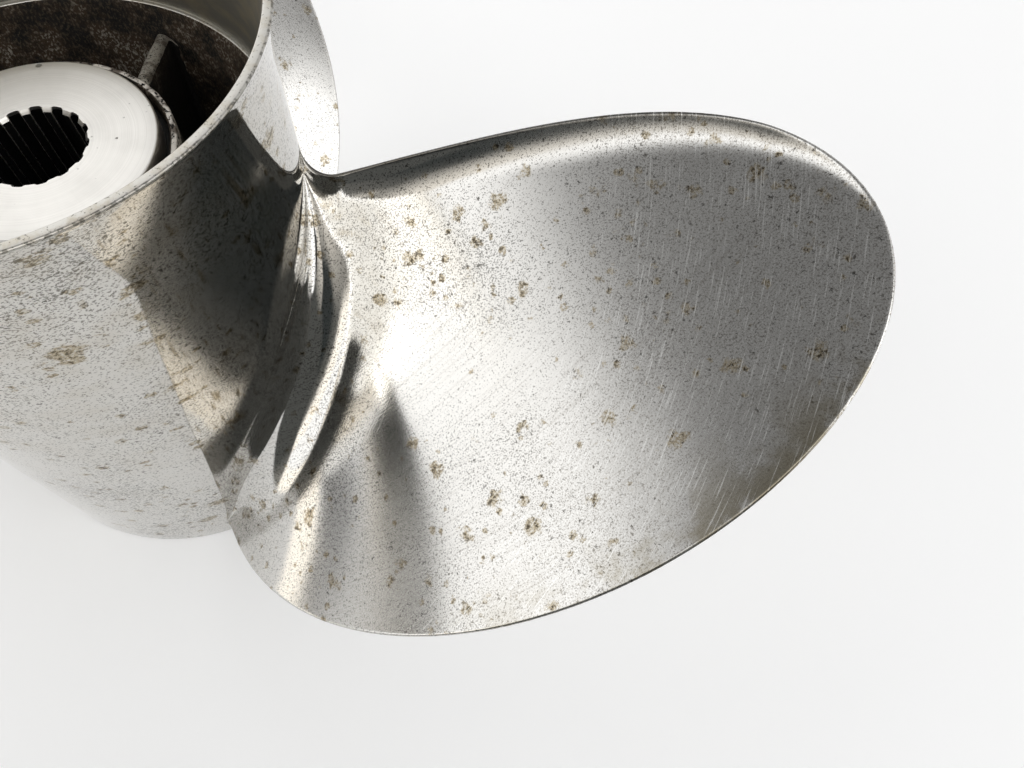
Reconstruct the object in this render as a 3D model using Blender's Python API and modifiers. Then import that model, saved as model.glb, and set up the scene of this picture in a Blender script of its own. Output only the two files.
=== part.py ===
"""Three-blade stainless steel propeller of an outboard motor, with through-hub exhaust.

Metres, +Z up. The Z axis is the shaft axis and points aft. The origin is on the axis, in the plane
of the hub's forward face, which the propeller stands on. The propeller turns right-handed.
"""
import math

import bmesh
import bpy
from mathutils import Matrix, Vector

# Driving dimensions of the hub barrel
HUB_LENGTH = 0.169
FRONT_RADIUS = 0.0604
BARREL_RADIUS = 0.0622
RIM_RADIUS = 0.0658
TAPER_END = 0.090
FLARE_START = 0.144
FLARE_STEPS = 5
RIM_WIDTH = 0.0023
LEDGE_Z = 0.1303
LEDGE_RADIUS = 0.0599
BORE_AFT_RADIUS = 0.0587
BORE_FRONT_RADIUS = 0.0570
EDGE_BREAK = 0.0008

# Inner hub, its ribs and what is pressed into it
INNER_HUB_AFT_Z = 0.1298
INNER_HUB_FRONT_Z = 0.010
INNER_HUB_AFT_RADIUS = 0.0333
INNER_HUB_FRONT_RADIUS = 0.0350
INNER_HUB_BORE_RADIUS = 0.0314
RIB_COUNT = 3
RIB_THICKNESS = 0.0034
RIB_FRONT_Z = 0.014
RIB_AFT_Z_AT_HUB = 0.1285
RIB_AFT_Z_AT_BARREL = 0.1215
RIB_OFFSET = 0.0205
RIB_STOCK_START = 0.017
RIB_STOCK_STOP = 0.068
RIB_DIRECTION = math.radians(100.0)
SLEEVE_AFT_Z = 0.13275
SLEEVE_FRONT_Z = 0.006
SLEEVE_RADIUS = 0.0200
SLEEVE_HEAD_RADIUS = 0.0297
SLEEVE_HEAD_THICKNESS = 0.006
SPLINE_COUNT = 15
SPLINE_MINOR_RADIUS = 0.0120
SPLINE_MAJOR_RADIUS = 0.0134
SPLINE_CHAMFER = 0.0009
SPLINE_GROOVE_WIDTH = 0.0028
SPLINE_FIRST_ANGLE = math.radians(12.0)
BUSHING_FRONT_Z = 0.012
BUSHING_AFT_Z = 0.1262

# Blades. The middle line, in degrees about the axis, and the fullness of the outline against a
# round tip are cubics in the share of the span from the barrel to the tip.
BLADE_COUNT = 3
TIP_RADIUS = 0.2067
MIDDLE_LINE_TERMS = (-25.0, 5.5, 24.7, -12.3)
FULLNESS_TERMS = (0.206, 0.453, -0.045, -0.111)
PITCH = 0.500
RAKE = math.radians(20.0)
ROOT_FORWARD_Z = 0.002
ROOT_FORWARD_ANGLE = math.radians(-68.0)
ROOT_DEPTH = 0.0045
ROOT_THICKNESS = 0.0115
TIP_THICKNESS = 0.0030
THICKNESS_POWER = 0.8
LEADING_EDGE_THICKNESS = 0.0014
TRAILING_EDGE_THICKNESS = 0.0018
CUP_HEIGHT = 0.0030
CUP_START = 0.93
CUP_AT_ROOT = 0.4
CUP_GROWTH = 4.0
END_FADE = 5.0
FACE_FILLET_RADIUS = 0.015
LEADING_FILLET_RADIUS = 0.004
TRAILING_FILLET_RADIUS = 0.010

# Fineness of the faceted shapes, and the gap that neighbouring pieces keep
BARREL_SEGMENTS = 72
HUB_SEGMENTS = 48
CHORD_STEPS = 14
SPAN_STEPS = 9
FILLET_STEPS = 5
FILLET_SPACING_POWER = 1.5
TIP_FLAT = 0.0005
CUTTER_EXCESS = 0.012
GAP = 0.0003

STEEL = ("stainless_steel", (0.62, 0.61, 0.58), 0.24, 1.0)
CAST_STEEL = ("cast_stainless_bore", (0.23, 0.17, 0.12), 0.75, 0.6)
MACHINED = ("machined_sleeve", (0.70, 0.69, 0.66), 0.30, 1.0)
RUBBER = ("bushing_rubber", (0.03, 0.03, 0.03), 0.80, 0.0)


def clear_scene():
    for item in list(bpy.data.objects):
        bpy.data.objects.remove(item, do_unlink=True)


def new_collection(name):
    collection = bpy.data.collections.new(name)
    bpy.context.scene.collection.children.link(collection)
    return collection


def finish_material(finish):
    name, colour, roughness, metallic = finish
    material = bpy.data.materials.get(name) or bpy.data.materials.new(name)
    material.use_nodes = True
    shader = material.node_tree.nodes["Principled BSDF"]
    shader.inputs["Base Color"].default_value = (*colour, 1.0)
    shader.inputs["Roughness"].default_value = roughness
    shader.inputs["Metallic"].default_value = metallic
    return material


def add_object(name, mesh, collection, finish=None):
    item = bpy.data.objects.new(name, mesh)
    collection.objects.link(item)
    if finish:
        mesh.materials.append(finish_material(finish))
    return item


def add_cutter(name, mesh, collection):
    item = add_object(name, mesh, collection)
    item.hide_render = True
    item.display_type = "WIRE"
    return item


def cut(item, cutter, operation="DIFFERENCE"):
    modifier = item.modifiers.new(cutter.name, "BOOLEAN")
    modifier.operation = operation
    modifier.object = cutter


def turned_mesh(name, profile):
    """A closed profile of (radius, z) points, outer side first, running from aft to forward."""
    mesh = bpy.data.meshes.new(name)
    edges = [(i, (i + 1) % len(profile)) for i in range(len(profile))]
    mesh.from_pydata([(radius, 0.0, z) for radius, z in profile], edges, [])
    return mesh


def turn(item, segments):
    screw = item.modifiers.new("turn", "SCREW")
    screw.axis = "Z"
    screw.steps = segments
    screw.render_steps = segments
    screw.use_merge_vertices = True
    screw.merge_threshold = 0.00001


def barrel_radius(z):
    """Outer radius of the barrel: a slight taper, a straight stretch and the flared aft end."""
    taper = min(max(z, 0.0) / TAPER_END, 1.0)
    radius = FRONT_RADIUS + (BARREL_RADIUS - FRONT_RADIUS) * taper
    if z > FLARE_START:
        length = HUB_LENGTH - FLARE_START
        rise = RIM_RADIUS - BARREL_RADIUS
        arc_radius = (length ** 2 + rise ** 2) / (2.0 * rise)
        radius += arc_radius - math.sqrt(arc_radius ** 2 - (z - FLARE_START) ** 2)
    return radius


def outer_barrel(collection):
    flare = [FLARE_START + (HUB_LENGTH - FLARE_START) * i / FLARE_STEPS for i in range(FLARE_STEPS + 1)]
    outside = [(barrel_radius(z), z) for z in reversed(flare)]
    outside += [(barrel_radius(z), z) for z in (TAPER_END, TAPER_END / 2.0)]
    outside += [(barrel_radius(EDGE_BREAK), EDGE_BREAK), (FRONT_RADIUS - EDGE_BREAK, 0.0)]
    inside = [(BORE_FRONT_RADIUS + EDGE_BREAK, 0.0), (BORE_FRONT_RADIUS, EDGE_BREAK)]
    inside += [(BORE_AFT_RADIUS, LEDGE_Z), (LEDGE_RADIUS, LEDGE_Z)]
    inside += [(barrel_radius(z) - RIM_WIDTH, z) for z in flare[1:]]
    item = add_object("outer_barrel", turned_mesh("outer_barrel", outside + inside), collection, STEEL)
    turn(item, BARREL_SEGMENTS)


def inner_hub(collection):
    profile = [
        (INNER_HUB_AFT_RADIUS, INNER_HUB_AFT_Z),
        (INNER_HUB_FRONT_RADIUS, INNER_HUB_FRONT_Z),
        (INNER_HUB_BORE_RADIUS, INNER_HUB_FRONT_Z),
        (INNER_HUB_BORE_RADIUS, INNER_HUB_AFT_Z),
    ]
    item = add_object("inner_hub", turned_mesh("inner_hub", profile), collection, CAST_STEEL)
    turn(item, HUB_SEGMENTS)


def rubber_bushing(collection):
    outer = INNER_HUB_BORE_RADIUS - GAP
    inner = SLEEVE_RADIUS + GAP
    profile = [
        (outer, BUSHING_AFT_Z),
        (outer, BUSHING_FRONT_Z),
        (inner, BUSHING_FRONT_Z),
        (inner, BUSHING_AFT_Z),
    ]
    item = add_object("rubber_bushing", turned_mesh("rubber_bushing", profile), collection, RUBBER)
    turn(item, HUB_SEGMENTS)


def spline_grooves(cutters):
    """Fifteen long blocks that cut the grooves of the bore, as one cutter."""
    shape = bmesh.new()
    depth = SPLINE_MAJOR_RADIUS - SPLINE_MINOR_RADIUS / 2.0
    length = SLEEVE_AFT_Z - SLEEVE_FRONT_Z + 2.0 * CUTTER_EXCESS
    for index in range(SPLINE_COUNT):
        angle = SPLINE_FIRST_ANGLE + index * math.tau / SPLINE_COUNT
        middle = Vector((SPLINE_MAJOR_RADIUS - depth / 2.0, 0.0, (SLEEVE_AFT_Z + SLEEVE_FRONT_Z) / 2.0))
        place = Matrix.Rotation(angle, 4, "Z") @ Matrix.Translation(middle)
        size = Matrix.Diagonal((depth, SPLINE_GROOVE_WIDTH, length, 1.0))
        bmesh.ops.create_cube(shape, size=1.0, matrix=place @ size)
    mesh = bpy.data.meshes.new("spline_grooves")
    shape.to_mesh(mesh)
    shape.free()
    return add_cutter("spline_grooves", mesh, cutters)


def splined_sleeve(collection, cutters):
    neck_z = SLEEVE_AFT_Z - SLEEVE_HEAD_THICKNESS
    profile = [
        (SLEEVE_HEAD_RADIUS - EDGE_BREAK, SLEEVE_AFT_Z),
        (SLEEVE_HEAD_RADIUS, SLEEVE_AFT_Z - EDGE_BREAK),
        (SLEEVE_HEAD_RADIUS, neck_z),
        (SLEEVE_RADIUS, neck_z),
        (SLEEVE_RADIUS, SLEEVE_FRONT_Z),
        (SPLINE_MINOR_RADIUS + SPLINE_CHAMFER, SLEEVE_FRONT_Z),
        (SPLINE_MINOR_RADIUS, SLEEVE_FRONT_Z + SPLINE_CHAMFER),
        (SPLINE_MINOR_RADIUS, SLEEVE_AFT_Z - SPLINE_CHAMFER),
        (SPLINE_MINOR_RADIUS + SPLINE_CHAMFER, SLEEVE_AFT_Z),
    ]
    item = add_object("splined_sleeve", turned_mesh("splined_sleeve", profile), collection, MACHINED)
    turn(item, HUB_SEGMENTS)
    cut(item, spline_grooves(cutters))


def round_cutter(name, profile, segments, cutters):
    item = add_cutter(name, turned_mesh(name, profile), cutters)
    turn(item, segments)
    return item


def rib_trimmers(cutters):
    """What a rib may fill outside the inner hub and inside the barrel's bore, less the gap."""
    low, high = -HUB_LENGTH, 2.0 * HUB_LENGTH

    def line(radius_front, radius_aft, z_front, z_aft, z):
        return radius_front + (radius_aft - radius_front) * (z - z_front) / (z_aft - z_front)

    hub = [
        (line(INNER_HUB_FRONT_RADIUS, INNER_HUB_AFT_RADIUS, INNER_HUB_FRONT_Z, INNER_HUB_AFT_Z, z) + GAP, z)
        for z in (high, low)
    ]
    bore = [
        (line(BORE_FRONT_RADIUS, BORE_AFT_RADIUS, EDGE_BREAK, LEDGE_Z, z) - GAP, z)
        for z in (high, low)
    ]
    axis = [(0.0, low), (0.0, high)]
    hub_space = round_cutter("inner_hub_space", hub + axis, HUB_SEGMENTS, cutters)
    bore_space = round_cutter("barrel_bore_space", bore + axis, BARREL_SEGMENTS, cutters)
    return hub_space, bore_space


def rib(index, collection, hub_space, bore_space):
    """An upright plate beside the radius, lower at the barrel than at the inner hub."""
    slope = (RIB_AFT_Z_AT_BARREL - RIB_AFT_Z_AT_HUB) / (BORE_AFT_RADIUS - INNER_HUB_AFT_RADIUS)
    shape = bmesh.new()
    bmesh.ops.create_cube(shape, size=1.0)
    for corner in shape.verts:
        along = RIB_STOCK_START if corner.co.x < 0.0 else RIB_STOCK_STOP
        side = -RIB_OFFSET + corner.co.y * RIB_THICKNESS
        radius = math.hypot(along, RIB_OFFSET)
        top = RIB_AFT_Z_AT_HUB + slope * (radius - INNER_HUB_AFT_RADIUS)
        corner.co = (along, side, top if corner.co.z > 0.0 else RIB_FRONT_Z)
    turn_to_place = Matrix.Rotation(RIB_DIRECTION + index * math.tau / RIB_COUNT, 4, "Z")
    bmesh.ops.transform(shape, matrix=turn_to_place, verts=shape.verts)
    name = "rib_%d" % (index + 1)
    mesh = bpy.data.meshes.new(name)
    shape.to_mesh(mesh)
    shape.free()
    item = add_object(name, mesh, collection, CAST_STEEL)
    cut(item, bore_space, "INTERSECT")
    cut(item, hub_space)


def span_share(radius):
    share = (radius - BARREL_RADIUS) / (TIP_RADIUS - BARREL_RADIUS)
    return min(max(share, 0.0), 1.0)


def cubic(terms, share):
    return sum(term * share ** power for power, term in enumerate(terms))


def fillet_rise(radius, fillet_radius):
    """How far a round fillet stands off the blade at this radius, from the barrel outwards."""
    depth = fillet_radius - min(max(radius - BARREL_RADIUS, 0.0), fillet_radius)
    return fillet_radius - math.sqrt(fillet_radius ** 2 - depth ** 2)


def half_chord_angle(radius):
    """Half the angle that the blade spans at this radius: a round ear, widest at two thirds."""
    fullness = cubic(FULLNESS_TERMS, span_share(radius))
    return fullness * math.sqrt(max(TIP_RADIUS ** 2 - radius ** 2, 0.0)) / radius


def blade_angle(radius, chord_share):
    """The angle about the axis, from the leading edge at 0 to the trailing edge at 1."""
    middle = math.radians(cubic(MIDDLE_LINE_TERMS, span_share(radius)))
    half = half_chord_angle(radius)
    helix_radius = math.hypot(radius, PITCH / math.tau)
    leading = middle - half - fillet_rise(radius, LEADING_FILLET_RADIUS) / helix_radius
    trailing = middle + half + fillet_rise(radius, TRAILING_FILLET_RADIUS) / helix_radius
    return leading + (trailing - leading) * chord_share


def face_point(radius, angle):
    """A point of the aft face: a helix of constant pitch, raked aft towards the tip."""
    z = ROOT_FORWARD_Z + (angle - ROOT_FORWARD_ANGLE) * PITCH / math.tau
    z += math.tan(RAKE) * (radius - FRONT_RADIUS)
    return Vector((radius * math.cos(angle), radius * math.sin(angle), z))


def face_normal(radius, angle):
    outward = Vector((math.cos(angle), math.sin(angle), math.tan(RAKE)))
    around = Vector((-radius * math.sin(angle), radius * math.cos(angle), PITCH / math.tau))
    return outward.cross(around).normalized()


def thickness(radius, chord_share):
    most = ROOT_THICKNESS + (TIP_THICKNESS - ROOT_THICKNESS) * span_share(radius) ** THICKNESS_POWER
    edge = LEADING_EDGE_THICKNESS + (TRAILING_EDGE_THICKNESS - LEADING_EDGE_THICKNESS) * chord_share
    return edge + max(most - edge, 0.0) * math.sin(math.pi * chord_share) ** THICKNESS_POWER


def cup(radius, chord_share):
    """The trailing edge curls aft, and the curl fades out at the root and the tip."""
    curl = max((chord_share - CUP_START) / (1.0 - CUP_START), 0.0) ** 2
    share = span_share(radius)
    return CUP_HEIGHT * curl * min(1.0, CUP_AT_ROOT + CUP_GROWTH * share, END_FADE * (1.0 - share))


def face_fillet(radius, chord_share):
    """How far the fillet at the barrel stands off each face, fading out at the two edges."""
    fade = min(1.0, END_FADE * chord_share, END_FADE * (1.0 - chord_share))
    return fillet_rise(radius, FACE_FILLET_RADIUS) * fade


def blade_radii():
    """Section radii: one inside the barrel, closer ones in the fillet, then closer again to the tip."""
    shares = [(i / FILLET_STEPS) ** FILLET_SPACING_POWER for i in range(FILLET_STEPS + 1)]
    foot = [BARREL_RADIUS + FACE_FILLET_RADIUS * share for share in shares]
    rest = TIP_RADIUS - foot[-1]
    outer = [foot[-1] + rest * math.sin(math.pi / 2.0 * i / SPAN_STEPS) for i in range(1, SPAN_STEPS)]
    return [BARREL_RADIUS - ROOT_DEPTH] + foot + outer + [TIP_RADIUS - TIP_FLAT]


def blade(index, collection, barrel_space):
    shape = bmesh.new()
    turn_to_place = Matrix.Rotation(index * math.tau / BLADE_COUNT, 4, "Z")
    sections = []
    for radius in blade_radii():
        aft, forward = [], []
        for step in range(CHORD_STEPS + 1):
            chord_share = (1.0 - math.cos(math.pi * step / CHORD_STEPS)) / 2.0
            angle = blade_angle(radius, chord_share)
            point, normal = face_point(radius, angle), face_normal(radius, angle)
            fillet, curl = face_fillet(radius, chord_share), cup(radius, chord_share)
            aft.append(point + normal * (curl + fillet))
            forward.append(point + normal * (curl - fillet - thickness(radius, chord_share)))
        ring = aft + forward[::-1]
        sections.append([shape.verts.new(turn_to_place @ point) for point in ring])
    count = len(sections[0])
    for inner, outer in zip(sections, sections[1:]):
        for i in range(count):
            j = (i + 1) % count
            shape.faces.new((inner[i], outer[i], outer[j], inner[j]))
    for ring, outward in ((sections[0], False), (sections[-1], True)):
        for i in range(CHORD_STEPS):
            corners = (ring[i], ring[i + 1], ring[count - 2 - i], ring[count - 1 - i])
            shape.faces.new(corners if outward else corners[::-1])
    bmesh.ops.recalc_face_normals(shape, faces=shape.faces)
    name = "blade_%d" % (index + 1)
    mesh = bpy.data.meshes.new(name)
    shape.to_mesh(mesh)
    shape.free()
    mesh.shade_smooth()
    item = add_object(name, mesh, collection, STEEL)
    cut(item, barrel_space)


def barrel_space_cutter(cutters):
    """The barrel's outside with the gap, solid to the axis, which trims the blade roots."""
    heights = [2.0 * HUB_LENGTH, FLARE_START, TAPER_END, TAPER_END / 2.0, EDGE_BREAK, -HUB_LENGTH]
    profile = [(barrel_radius(min(z, FLARE_START)) + GAP, z) for z in heights]
    profile += [(0.0, heights[-1]), (0.0, heights[0])]
    return round_cutter("barrel_space", profile, BARREL_SEGMENTS, cutters)


def main():
    clear_scene()
    parts = new_collection("outboard_propeller")
    cutters = new_collection("cutters")
    outer_barrel(parts)
    inner_hub(parts)
    hub_space, bore_space = rib_trimmers(cutters)
    for index in range(RIB_COUNT):
        rib(index, parts, hub_space, bore_space)
    rubber_bushing(parts)
    splined_sleeve(parts, cutters)
    barrel_space = barrel_space_cutter(cutters)
    for index in range(BLADE_COUNT):
        blade(index, parts, barrel_space)


main()
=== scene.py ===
"""The looks of a three-blade stainless steel outboard motor propeller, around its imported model.

Metres, +Z up. The Z axis is the shaft axis and points aft. The propeller stands on the forward
end of its hub, on a pale floor, and is seen from above over one blade.
"""
import math

import bmesh
import bpy
from bpy.props import FloatProperty, FloatVectorProperty, IntProperty, PointerProperty
from mathutils import Matrix, Vector, noise


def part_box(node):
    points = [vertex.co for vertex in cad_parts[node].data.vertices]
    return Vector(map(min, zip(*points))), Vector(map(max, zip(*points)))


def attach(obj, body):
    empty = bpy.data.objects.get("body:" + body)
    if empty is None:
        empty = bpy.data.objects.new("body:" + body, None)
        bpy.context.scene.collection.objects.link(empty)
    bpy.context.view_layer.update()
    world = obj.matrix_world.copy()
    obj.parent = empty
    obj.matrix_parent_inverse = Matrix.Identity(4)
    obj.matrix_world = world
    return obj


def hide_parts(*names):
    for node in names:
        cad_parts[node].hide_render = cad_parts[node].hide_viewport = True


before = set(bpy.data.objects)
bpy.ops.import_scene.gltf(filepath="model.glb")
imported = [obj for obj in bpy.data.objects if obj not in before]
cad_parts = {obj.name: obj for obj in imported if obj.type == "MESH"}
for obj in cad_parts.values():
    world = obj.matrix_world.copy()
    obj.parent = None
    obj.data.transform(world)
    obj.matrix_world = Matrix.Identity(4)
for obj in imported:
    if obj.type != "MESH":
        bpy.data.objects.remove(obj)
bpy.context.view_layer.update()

bl_info = {
    "name": "Outboard Propeller",
    "version": (1, 0, 0),
    "blender": (4, 5, 0),
    "location": "View3D > Sidebar > Propeller",
    "description": "Builds a polished through-hub-exhaust propeller and a plain stage for it",
    "category": "Add Mesh",
}

ROOT_BODY = "root"


def length(name, description, default):
    return FloatProperty(
        name=name, description=description, default=default, unit="LENGTH", precision=5
    )


def angle(name, description, default):
    default = math.radians(default)
    return FloatProperty(name=name, description=description, default=default, subtype="ANGLE")


def number(name, description, default):
    return FloatProperty(name=name, description=description, default=default)


def count(name, description, default):
    return IntProperty(name=name, description=description, default=default, min=1)


def colour(name, description, default):
    return FloatVectorProperty(
        name=name, description=description, default=default,
        size=3, subtype="COLOR", min=0.0, max=1.0,
    )


class PROPELLER_PG_barrel(bpy.types.PropertyGroup):
    length: length("Length", "From the forward face to the rim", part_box("outer_barrel")[1].z)
    front_radius: length("Front radius", "Outer radius at the forward face", 0.0604)
    body_radius: length("Body radius", "Outer radius of the straight stretch", 0.0622)
    rim_radius: length("Rim radius", "Outer radius of the flared rim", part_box("outer_barrel")[1].x)
    taper_end: length("Taper end", "Where the forward taper ends", 0.090)
    flare_start: length("Flare start", "Where the aft flare starts", 0.144)
    rim_width: length("Rim width", "Thickness of the wall at the rim", 0.0023)
    ledge_z: length("Ledge height", "Where the bore steps out to the flare", 0.1303)
    ledge_radius: length("Ledge radius", "Outer radius of the step", 0.0599)
    bore_aft_radius: length("Aft bore radius", "Radius of the cast bore below the step", 0.0587)
    bore_front_radius: length("Front bore radius", "Radius of the cast bore at the front", 0.0570)
    edge: length("Edge rounding", "Radius of the rounded edges", 0.0004)
    roughness: length("Cast roughness", "Depth of the bore's cast texture", 0.00035)
    segments: count("Segments", "Facets around the barrel", 288)


class PROPELLER_PG_inner_hub(bpy.types.PropertyGroup):
    aft_z: length("Aft face", "Height of the aft face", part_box("inner_hub")[1].z)
    front_z: length("Forward face", "Height of the forward face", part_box("inner_hub")[0].z)
    aft_radius: length("Aft radius", "Outer radius at the aft face", 0.0333)
    front_radius: length("Front radius", "Outer radius at the forward face", 0.0350)
    bore_radius: length("Bore radius", "Radius of the machined bore", 0.0314)
    edge: length("Edge rounding", "Radius of the rounded edges", 0.0005)
    segments: count("Segments", "Facets around the hub", 192)


class PROPELLER_PG_rib(bpy.types.PropertyGroup):
    count: count("Count", "Ribs between the inner hub and the barrel", 3)
    thickness: length("Thickness", "Thickness at mid span", 0.0034)
    fillet: length("Fillet", "Radius of the fillets at both walls", 0.0018)
    front_z: length("Forward edge", "Height of the forward edge", 0.014)
    aft_z_at_hub: length("Aft edge at the hub", "Height of the aft edge there", 0.1285)
    aft_z_at_barrel: length("Aft edge at the barrel", "Height of the aft edge there", 0.1215)
    offset: length("Offset", "How far the rib's plane passes the shaft axis", 0.0205)
    direction: angle("Direction", "Direction of the first rib about the axis", 100.0)


class PROPELLER_PG_sleeve(bpy.types.PropertyGroup):
    aft_z: length("Aft face", "Height of the aft face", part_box("splined_sleeve")[1].z)
    front_z: length("Forward face", "Height of the forward face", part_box("splined_sleeve")[0].z)
    radius: length("Radius", "Outer radius of the tube", 0.0200)
    head_radius: length("Head radius", "Outer radius of the head", 0.0297)
    head_thickness: length("Head thickness", "Thickness of the head", 0.006)
    splines: count("Grooves", "Spline grooves in the bore", 15)
    minor_radius: length("Minor radius", "Bore radius on the lands", 0.0120)
    major_radius: length("Major radius", "Bore radius in the grooves", 0.0134)
    groove_width: length("Groove width", "Width of a groove", 0.0028)
    chamfer: length("Chamfer", "Chamfer of the bore's ends", 0.0009)
    first_angle: angle("First groove", "Direction of the first groove", 12.0)
    bushing_front_z: length("Bushing front", "Height of the bushing's forward end", 0.012)
    bushing_aft_z: length("Bushing aft", "Height of the bushing's aft end", 0.1262)


class PROPELLER_PG_blade(bpy.types.PropertyGroup):
    count: count("Count", "Blades around the barrel", 3)
    tip_radius: length("Tip radius", "Radius of the blade tips", 0.2067)
    pitch: length("Pitch", "Advance in one turn", 0.500)
    rake: angle("Rake", "Lean of the blade aft", 20.0)
    root_z: length("Root height", "Height of the face at the root's forward end", 0.002)
    root_angle: angle("Root angle", "Direction of the root's forward end", -68.0)
    root_thickness: length("Root thickness", "Greatest thickness at the root", 0.0115)
    tip_thickness: length("Tip thickness", "Greatest thickness at the tip", 0.0030)
    leading_edge: length("Leading edge", "Thickness of the leading edge", 0.0014)
    trailing_edge: length("Trailing edge", "Thickness of the trailing edge", 0.0018)
    cup_height: length("Cup height", "How far the trailing edge curls aft", 0.0030)
    face_fillet: length("Face fillet", "Radius of the fillets on both faces", 0.015)
    leading_fillet: length("Leading fillet", "Radius of the leading edge's root fillet", 0.004)
    trailing_fillet: length("Trailing fillet", "Radius of the trailing edge's root fillet", 0.010)
    chord_steps: count("Chord steps", "Quads from edge to edge", 88)
    fillet_steps: count("Fillet steps", "Quads across a root fillet", 16)
    span_steps: count("Span steps", "Quads from the fillet to the tip", 84)


# Terms of the blade's cubics: the middle line in degrees about the axis, and the fullness of the
# outline against a round tip, over the share of the span from the barrel to the tip
MIDDLE_LINE_TERMS = (-25.0, 5.5, 24.7, -12.3)
FULLNESS_TERMS = (0.206, 0.453, -0.045, -0.111)
# The cup: where it starts on the chord, its share at the root and how that grows over the span
CUP_START, CUP_AT_ROOT, CUP_GROWTH = 0.93, 0.4, 4.0
# How steeply the cup fades at the tip and the fillets at the edges, and how full the blade stays
END_FADE, THICKNESS_POWER = 5.0, 0.8
# How deep in the barrel's wall the blade ends and its foot starts, and how far proud of that wall
# its fillets end
ROOT_DEPTH, FOOT_DEPTH, FOOT_PROUD = 0.0030, 0.0004, 0.00002
# How much nearer the axis the section lies that gives the slope of the blade's edges
EDGE_STEP = 0.0001
MERGE_DISTANCE = 0.000002
# How far the ribs run into both walls, how round their aft edges are against their thickness, and
# how far the fillets draw those edges down
RIB_BURY, RIB_ROUND, RIB_DRAW = 0.0006, 0.45, 1.5
# The cast relief: its lumps and grains to the metre, its depth on the ribs, and how far from the
# ends of the barrel's bore it is full
BORE_LUMPS, BORE_GRAINS, HUB_LUMPS, RIB_LUMPS = 260.0, 700.0, 320.0, 350.0
RIB_RELIEF, RELIEF_CLEAR = 0.0002, 0.004
# How far down the inner hub's bore the black of soot and painted shade reaches
BORE_SOOT_AND_SHADE = 0.020
# The sleeve: its rounded edges, the flat round its grooves, the undivided ends of its lands, the
# step behind the chamfer, and the bevels at the mouth and in the corners of each groove
SLEEVE_EDGE, FACE_MARGIN, LAND_MARGIN, CHAMFER_STEP = 0.0003, 0.0012, 0.012, 0.0001
LAND_BEVEL, GROOVE_CORNER = 0.00022, 0.25
# The bushing's clearance on both sides and how far its ends are crowned
BUSHING_GAP, BUSHING_CROWN = 0.0003, 0.0012
# (x, y, z, radius) of the punch mark and the prick on the sleeve's head
PUNCH_MARKS = ((-0.0086, 0.0271, 0.13275, 0.0009), (0.0192, 0.0050, 0.13275, 0.00035))
# Quads along the stretches of the pieces, and points on the wall of one groove
FLARE_STEPS, BODY_STEPS, BORE_STEPS, HUB_STEPS = 14, 24, 72, 40
RIB_COLUMNS, RIB_ROWS, RIB_ROUND_STEPS = 36, 40, 4
SLEEVE_STEPS, LAND_STEPS, WALL_POINTS = 8, 5, 7
CROWN_STEPS, BUSHING_STEPS, CARD_STEPS = 12, 10, 16
# Material indices on the barrel and on the inner hub
POLISHED, RIM, FLARE, CAST = range(4)
SOOTY_AND_SHADED, PITTED, TURNED = range(3)
BARREL_PIECE = "outer_barrel_casting"
# Sizes of the marks on the steel: rust blotches large and small, crumbs in them and the finest grit
LARGE_BLOTCH, SMALL_BLOTCH, CRUMB, GRIT = 0.0085, 0.0036, 0.0011, 0.00040
# How strong the fine specks are on the steel, and on the outer blade
SPECK_BITE, OUTER_SPECK_BITE = 0.62, 0.28
# How far the film at the tips slants, in chords to the metre of height
FILM_SLANT = 7.0
# Waves to the metre of the scratches on the blades and of the turned lines on the barrel
SCRATCH_FINENESS, LINE_FINENESS = (80.0, 2400.0, 0.0), (30.0, 30.0, 1500.0)
# How the marks are drawn out round the barrel
BARREL_FLOW = (0.65, 0.65, 1.1)
# The ground grain of the blades: its direction on their map, and the size of one line
GRIND_ANGLE, GRIND_SIZE = math.radians(40.0), (1.0 / 30.0, 1.0 / 2200.0, 1.0)
# Heights between which black gives way to rust, in the barrel's bore and round the inner hub
# The black below is soot and painted shade: the walls darken as the passages get deeper
BARREL_SOOT_AND_SHADE, HUB_SOOT_AND_SHADE = (0.085, 0.118), (0.122, 0.142)
# How far inside the rim's radius its darker edge starts and is full
RIM_EDGE = (0.0006, 0.0002)
BLACK, WHITE = (0.0, 0.0, 0.0), (1.0, 1.0, 1.0)
# The room by direction, in degrees of turn (0 on the left, 90 in front, 180 on the right) or of
# rise. Each is a stretch over which a level eases, with the levels before and after it where it
# doesn't ease between 0 and 1.
WINDOW_START, WINDOW_END, WINDOW_TOP = (-25.0, -8.0), (58.0, 63.0), (37.0, 56.0)
WINDOW_TOP_LIFT = (20.0, 42.0, 0.0, 7.0)
WINDOW_FOOT, WINDOW_FOOT_END = (3.0, 15.0, 0.75, 0.0), (8.0, 25.0, 1.0, 0.0)
DARK_END, DARK_TOP = (138.0, 150.0), (37.0, 41.0)
LEFT_WALL, RIGHT_WALL, WALLS_TOP = (-75.0, -50.0), (60.0, 95.0), (54.0, 64.0)
LEFT_CEILING, RIGHT_CEILING = (10.0, 45.0, 0.15, 0.36), 0.30
# The near wall in the same way: its light over the turn, and where its foot and its top start
WALL_BRIGHT, WALL_DIM = (69.0, 81.0, 0.97, 0.0), (80.0, 98.0, 0.08, 0.008)
WALL_DARK = (0.012, 0.016, 0.017)
FOOT_SLOPE, FOOT_EDGE = 0.0025, (-0.0925, -0.0825, 1.0, 0.0)
FOOT_LEVELS = (40.0, 72.0, 0.19, 0.04)
TOP_STEP_UP, TOP_STEP_DOWN = (86.0, 106.0, 0.0, 0.07), (118.0, 124.0, 0.0, 0.13)
TOP_EDGE, TOP_LEVELS = (0.225, 0.265), (0.21, 0.41, 0.10, 0.64)
# How far the barrel's card stands before that wall
CARD_GAP = 0.01
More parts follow.
